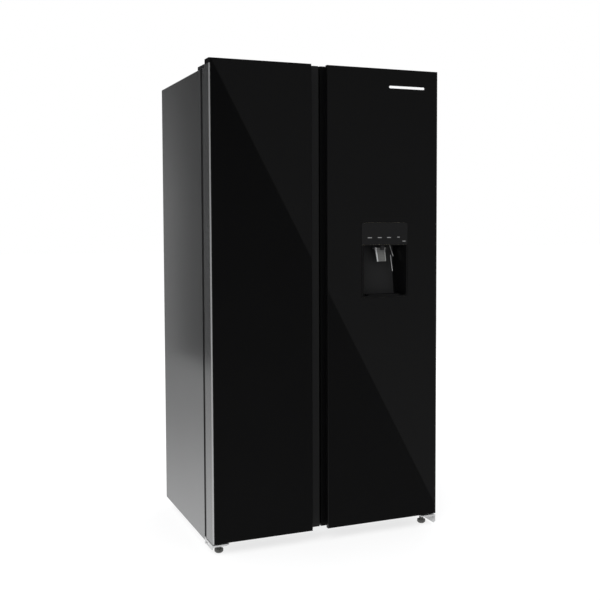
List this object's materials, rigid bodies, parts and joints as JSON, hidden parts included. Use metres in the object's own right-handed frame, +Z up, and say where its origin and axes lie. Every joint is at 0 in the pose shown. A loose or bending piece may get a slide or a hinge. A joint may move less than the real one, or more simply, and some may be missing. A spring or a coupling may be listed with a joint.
{
  "type": "side by side refrigerator",
  "caption": "Free-standing two-door cabinet refrigerator with glass fronts, a central finger channel, a water dispenser, shelves, drawers and door bins.",
  "frame": {"origin": "on the floor, mid width and mid depth", "axes": "+Z up, +X to the viewer's right, doors face -Y"},
  "size_m": [0.91, 0.676, 1.76],
  "materials": {
    "painted_steel": "satin grey coil-coated steel",
    "zinc_steel": "zinc-plated steel",
    "insulation": "rigid polyurethane foam",
    "white_liner": "vacuum-formed white plastic",
    "black_glass": "back-printed black tempered glass",
    "clear_glass": "tempered clear glass",
    "shelf_trim": "light grey moulded trim",
    "seal_rubber": "soft black elastomer",
    "black_plastic": "satin black moulded plastic",
    "fascia_gloss": "gloss black touch panel",
    "clear_plastic": "clear moulded plastic",
    "light_diffuser": "opal light diffuser",
    "black_enamel": "black enamelled steel",
    "coil_metal": "bare aluminium fins and tube",
    "badge_metal": "bright anodised aluminium"
  },
  "bodies": {
    "cabinet": {"cabinet_shell": "painted_steel", "back_panel": "painted_steel", "cabinet_foam": "insulation", "freezer_liner": "white_liner", "fridge_liner": "white_liner", "front_frame": "painted_steel", "base_tray": "zinc_steel", "machine_cover": "painted_steel", "compressor": "black_enamel", "condenser_coil": "coil_metal", "fan_shroud": "black_plastic", "drain_tray": "black_plastic", "evaporator_coil": "coil_metal", "air_ducts": "white_liner", "cord_gland": "seal_rubber", "ceiling_lights": "light_diffuser", "freezer_shelf_1": "clear_glass", "freezer_shelf_2": "clear_glass", "freezer_shelf_3": "clear_glass", "fridge_shelf_1": "clear_glass", "fridge_shelf_2": "clear_glass", "fridge_shelf_3": "clear_glass", "drawer_covers": "clear_glass", "shelf_trims": "shelf_trim", "upper_hinge_left": "zinc_steel", "upper_hinge_right": "zinc_steel", "lower_hinge_left": "zinc_steel", "lower_hinge_right": "zinc_steel", "hinge_covers": "black_plastic", "screws": "zinc_steel"},
    "condenser_fan": {"condenser_fan": "black_plastic"},
    "evaporator_fan": {"evaporator_fan": "black_plastic"},
    "foot_left": {"foot_left": "zinc_steel"},
    "foot_right": {"foot_right": "zinc_steel"},
    "roller_left": {"roller_left": "seal_rubber"},
    "roller_right": {"roller_right": "seal_rubber"},
    "freezer_drawer_upper": {"freezer_drawer_upper": "clear_plastic"},
    "freezer_drawer_lower": {"freezer_drawer_lower": "clear_plastic"},
    "crisper_upper": {"crisper_upper": "clear_plastic"},
    "crisper_lower": {"crisper_lower": "clear_plastic"},
    "left_door": {"left_door_glass": "black_glass", "left_door_shell": "painted_steel", "left_door_core": "insulation", "left_door_liner": "white_liner", "left_door_gasket": "seal_rubber", "left_door_bins": "clear_plastic"},
    "right_door": {"right_door_glass": "black_glass", "right_door_shell": "painted_steel", "right_door_core": "insulation", "right_door_liner": "white_liner", "right_door_gasket": "seal_rubber", "right_door_bins": "clear_plastic", "dispenser_fascia": "fascia_gloss", "dispenser_housing": "black_plastic", "dispenser_nozzle": "black_plastic", "drip_grille": "black_plastic", "water_tank": "clear_plastic", "badge_bar": "badge_metal"},
    "dispenser_paddle": {"dispenser_paddle": "clear_plastic"},
    "tank_lid": {"tank_lid": "clear_plastic"}
  },
  "joints": [
    {"name": "freezer_door_hinge", "type": "hinge", "parent": "cabinet", "child": "left_door", "pos_m": [-0.441, -0.263, 0.9], "axis": [0, 0, -1], "range_deg": [0, 120]},
    {"name": "fridge_door_hinge", "type": "hinge", "parent": "cabinet", "child": "right_door", "pos_m": [0.441, -0.263, 0.9], "axis": [0, 0, 1], "range_deg": [0, 120]},
    {"name": "paddle_pivot", "type": "hinge", "parent": "right_door", "child": "dispenser_paddle", "pos_m": [0.2285, -0.295, 1.09], "axis": [1, 0, 0], "range_deg": [0, 6], "stiffness_Nm_per_rad": 1.2},
    {"name": "tank_lid_hinge", "type": "hinge", "parent": "right_door", "child": "tank_lid", "pos_m": [0.2265, -0.212, 1.23], "axis": [1, 0, 0], "range_deg": [0, 75]},
    {"name": "freezer_drawer_upper_slide", "type": "slide", "parent": "cabinet", "child": "freezer_drawer_upper", "axis": [0, -1, 0], "range_m": [0, 0.1]},
    {"name": "freezer_drawer_lower_slide", "type": "slide", "parent": "cabinet", "child": "freezer_drawer_lower", "axis": [0, -1, 0], "range_m": [0, 0.1]},
    {"name": "crisper_upper_slide", "type": "slide", "parent": "cabinet", "child": "crisper_upper", "axis": [0, -1, 0], "range_m": [0, 0.1]},
    {"name": "crisper_lower_slide", "type": "slide", "parent": "cabinet", "child": "crisper_lower", "axis": [0, -1, 0], "range_m": [0, 0.1]},
    {"name": "condenser_fan_spin", "type": "hinge", "parent": "cabinet", "child": "condenser_fan", "pos_m": [0.079, 0.215, 0.14], "axis": [1, 0, 0], "continuous": true},
    {"name": "evaporator_fan_spin", "type": "hinge", "parent": "cabinet", "child": "evaporator_fan", "pos_m": [-0.228, 0.219, 1.01], "axis": [0, 1, 0], "continuous": true},
    {"name": "foot_left_turn", "type": "hinge", "parent": "cabinet", "child": "foot_left", "pos_m": [-0.418, -0.285, 0.02], "axis": [0, 0, 1], "continuous": true},
    {"name": "foot_right_turn", "type": "hinge", "parent": "cabinet", "child": "foot_right", "pos_m": [0.418, -0.285, 0.02], "axis": [0, 0, 1], "continuous": true},
    {"name": "roller_left_spin", "type": "hinge", "parent": "cabinet", "child": "roller_left", "pos_m": [-0.4, 0.29, 0.016], "axis": [1, 0, 0], "continuous": true},
    {"name": "roller_right_spin", "type": "hinge", "parent": "cabinet", "child": "roller_right", "pos_m": [0.4, 0.29, 0.016], "axis": [1, 0, 0], "continuous": true}
  ]
}
